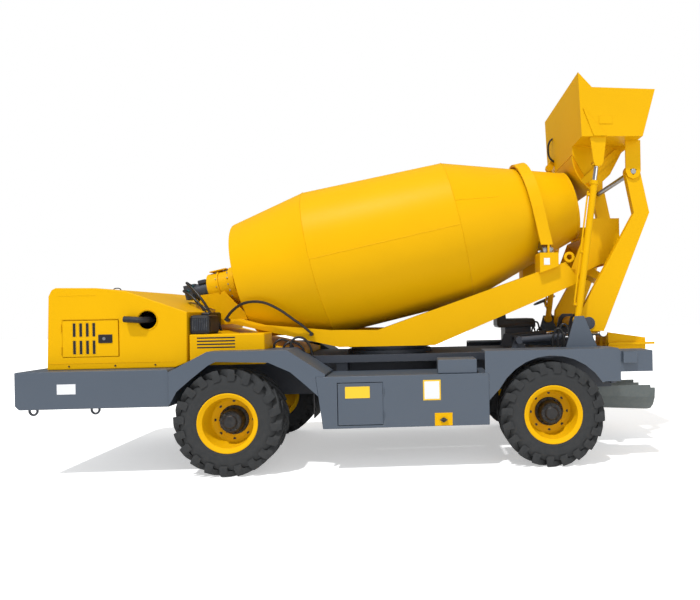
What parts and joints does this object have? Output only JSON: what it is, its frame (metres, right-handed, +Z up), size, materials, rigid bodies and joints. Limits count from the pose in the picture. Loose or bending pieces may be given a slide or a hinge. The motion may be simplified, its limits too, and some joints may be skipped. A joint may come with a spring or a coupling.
{
  "type": "self-loading concrete mixer truck",
  "caption": "Two-axle site mixer with a tilted drum on the chassis, a rear engine hood and a lifting front loader bucket with its own gate.",
  "frame": {"origin": "on the ground, in the middle of the machine's length and width", "axes": "+X forwards towards the drum's mouth and the bucket, +Y to the machine's left, +Z up"},
  "size_m": [6.77, 2.3, 4.171],
  "materials": {
    "painted_yellow": "bright yellow paint, semi-gloss, lightly worn on edges",
    "painted_slate": "slate blue-grey paint, semi-gloss",
    "painted_dark_slate": "dark slate paint, satin",
    "painted_black": "black paint, satin",
    "painted_chute": "grey-green paint, dusty",
    "tyre_rubber": "dusty black tyre rubber",
    "hose_rubber": "black hydraulic hose",
    "bare_steel": "machined steel",
    "chrome_rod": "hard chrome, mirror bright",
    "seat_vinyl": "black padded vinyl"
  },
  "bodies": {
    "machine": {"chassis_frame": "painted_dark_slate", "counterweight": "painted_slate", "rear_fender_right": "painted_slate", "rear_fender_left": "painted_slate", "side_tank_right": "painted_slate", "side_tank_left": "painted_slate", "front_fender_right": "painted_slate", "front_fender_left": "painted_slate", "stowed_chutes": "painted_chute", "nose_plate": "painted_yellow", "hood_shell": "painted_yellow", "engine_block": "painted_black", "exhaust_pipe": "painted_black", "oil_cooler": "painted_black", "pump_hood": "painted_yellow", "turntable": "painted_dark_slate", "drum_beam_right": "painted_yellow", "drum_beam_left": "painted_yellow", "drum_hoop": "painted_yellow", "discharge_hopper": "painted_yellow", "drum_gearbox": "painted_yellow", "hydraulic_motor": "bare_steel", "rear_axle": "painted_black", "front_axle": "painted_black", "operator_station": "painted_dark_slate", "operator_seat": "seat_vinyl", "hydraulic_hose": "hose_rubber"},
    "toolbox_door": {"toolbox_door": "painted_slate"},
    "hood_door_right": {"hood_door_right": "painted_yellow"},
    "hood_door_left": {"hood_door_left": "painted_yellow"},
    "discharge_chute": {"discharge_chute": "painted_yellow"},
    "drum": {"drum_shell": "painted_yellow"},
    "drum_roller_right": {"drum_roller_right": "bare_steel"},
    "drum_roller_left": {"drum_roller_left": "bare_steel"},
    "rear_wheel_right": {"wheel_rim_rear_right": "painted_yellow", "tyre_rear_right": "tyre_rubber"},
    "rear_wheel_left": {"wheel_rim_rear_left": "painted_yellow", "tyre_rear_left": "tyre_rubber"},
    "knuckle_right": {"steering_knuckle_right": "painted_black"},
    "knuckle_left": {"steering_knuckle_left": "painted_black"},
    "front_wheel_right": {"wheel_rim_front_right": "painted_yellow", "tyre_front_right": "tyre_rubber"},
    "front_wheel_left": {"wheel_rim_front_left": "painted_yellow", "tyre_front_left": "tyre_rubber"},
    "lift_arms": {"lift_arm_right": "painted_yellow", "lift_arm_left": "painted_yellow", "torque_tube": "painted_yellow"},
    "bucket_link": {"bucket_shaft": "bare_steel"},
    "bucket": {"loader_bucket": "painted_yellow"},
    "gate": {"bucket_gate": "painted_yellow"},
    "gate_ram_barrel": {"gate_barrel": "painted_yellow"},
    "gate_ram_rod": {"gate_rod": "chrome_rod"},
    "tilt_ram_barrels": {"tilt_barrel_right": "painted_yellow", "tilt_barrel_left": "painted_yellow"},
    "tilt_ram_rods": {"tilt_rod_right": "chrome_rod", "tilt_rod_left": "chrome_rod"},
    "lift_ram_barrels": {"lift_barrel_right": "painted_dark_slate", "lift_barrel_left": "painted_dark_slate"},
    "lift_ram_rods": {"lift_rod_right": "chrome_rod", "lift_rod_left": "chrome_rod"}
  },
  "joints": [
    {"name": "toolbox_door_hinge", "type": "hinge", "parent": "machine", "child": "toolbox_door", "pos_m": [0.225, -1.12, 0.7], "axis": [0, 0, 1], "range_deg": [0, 110]},
    {"name": "hood_door_right_hinge", "type": "hinge", "parent": "machine", "child": "hood_door_right", "pos_m": [-3.025, -0.92, 1.4], "axis": [0, 0, -1], "range_deg": [0, 100]},
    {"name": "hood_door_left_hinge", "type": "hinge", "parent": "machine", "child": "hood_door_left", "pos_m": [-3.025, 0.92, 1.4], "axis": [0, 0, 1], "range_deg": [0, 100]},
    {"name": "chute_swivel", "type": "hinge", "parent": "machine", "child": "discharge_chute", "pos_m": [2.565, 0, 2], "axis": [0, 0, 1], "range_deg": [-50, 50]},
    {"name": "drum_spin", "type": "hinge", "parent": "machine", "child": "drum", "pos_m": [0.136, 0, 2.356], "axis": [0.9767, 0, 0.2147], "continuous": true},
    {"name": "roller_spin_right", "type": "hinge", "parent": "machine", "child": "drum_roller_right", "pos_m": [2.0484, -0.49165, 2.2731], "axis": [0.9767, 0, 0.2147], "continuous": true},
    {"name": "roller_spin_left", "type": "hinge", "parent": "machine", "child": "drum_roller_left", "pos_m": [2.0484, 0.49165, 2.2731], "axis": [0.9767, 0, 0.2147], "continuous": true},
    {"name": "rear_wheel_right_spin", "type": "hinge", "parent": "machine", "child": "rear_wheel_right", "pos_m": [-1.315, -0.96, 0.5375], "axis": [0, 1, 0], "continuous": true},
    {"name": "rear_wheel_left_spin", "type": "hinge", "parent": "machine", "child": "rear_wheel_left", "pos_m": [-1.315, 0.96, 0.5375], "axis": [0, 1, 0], "continuous": true},
    {"name": "steer_right", "type": "hinge", "parent": "machine", "child": "knuckle_right", "pos_m": [1.955, -0.77, 0.5375], "axis": [0, 0, 1], "range_deg": [-30, 30]},
    {"name": "steer_left", "type": "hinge", "parent": "machine", "child": "knuckle_left", "pos_m": [1.955, 0.77, 0.5375], "axis": [0, 0, 1], "range_deg": [-30, 30]},
    {"name": "front_wheel_right_spin", "type": "hinge", "parent": "knuckle_right", "child": "front_wheel_right", "pos_m": [1.955, -0.96, 0.5375], "axis": [0, 1, 0], "continuous": true},
    {"name": "front_wheel_left_spin", "type": "hinge", "parent": "knuckle_left", "child": "front_wheel_left", "pos_m": [1.955, 0.96, 0.5375], "axis": [0, 1, 0], "continuous": true},
    {"name": "lift", "type": "hinge", "parent": "machine", "child": "lift_arms", "pos_m": [2.485, 0, 1.45], "axis": [0, 1, 0], "range_deg": [0, 112]},
    {"name": "bucket_level", "type": "hinge", "parent": "lift_arms", "child": "bucket_link", "pos_m": [3.015, 0, 3.13], "axis": [0, 1, 0], "range_deg": [-30.3, 0]},
    {"name": "bucket_tilt", "type": "hinge", "parent": "bucket_link", "child": "bucket", "pos_m": [3.015, 0, 3.13], "axis": [0, 1, 0], "range_deg": [0, 14]},
    {"name": "gate_swing", "type": "hinge", "parent": "bucket", "child": "gate", "pos_m": [2.907, 0, 3.397], "axis": [0, 1, 0], "range_deg": [-30, 0]},
    {"name": "gate_ram_swing", "type": "hinge", "parent": "bucket", "child": "gate_ram_barrel", "pos_m": [2.33, 0.49, 3.45], "axis": [0, 1, 0], "range_deg": [-6.9, 0]},
    {"name": "gate_ram_stroke", "type": "slide", "parent": "gate_ram_barrel", "child": "gate_ram_rod", "axis": [0.5813, 0, -0.8137], "range_m": [0, 0.2193]},
    {"name": "tilt_ram_swing", "type": "hinge", "parent": "machine", "child": "tilt_ram_barrels", "pos_m": [2.342, 0, 1.488], "axis": [0, 1, 0], "range_deg": [0, 108.2]},
    {"name": "tilt_ram_stroke", "type": "slide", "parent": "tilt_ram_barrels", "child": "tilt_ram_rods", "axis": [0.1397, 0, 0.9902], "range_m": [0, 0.104]},
    {"name": "lift_ram_swing", "type": "hinge", "parent": "machine", "child": "lift_ram_barrels", "pos_m": [1.735, 0, 1.27], "axis": [0, 1, 0], "range_deg": [0, 2]},
    {"name": "lift_ram_stroke", "type": "slide", "parent": "lift_ram_barrels", "child": "lift_ram_rods", "axis": [0.9977, 0, 0.0676], "range_m": [-0.41, 0]}
  ],
  "couplings": [
    {"joint": "roller_spin_right", "follows": "drum_spin", "ratio": -5.3182},
    {"joint": "roller_spin_left", "follows": "drum_spin", "ratio": -5.3182},
    {"joint": "steer_left", "follows": "steer_right", "ratio": 1},
    {"joint": "bucket_level", "follows": "lift", "ratio": -0.27},
    {"joint": "gate_ram_swing", "follows": "gate_swing", "ratio": 0.23},
    {"joint": "gate_ram_stroke", "follows": "gate_swing", "m_per_rad": -0.4188},
    {"joint": "tilt_ram_swing", "follows": "lift", "ratio": 0.965},
    {"joint": "tilt_ram_stroke", "follows": "bucket_tilt", "m_per_rad": 0.42},
    {"joint": "lift_ram_swing", "follows": "lift", "ratio": 0.0152},
    {"joint": "lift_ram_stroke", "follows": "lift", "m_per_rad": -0.2042}
  ]
}
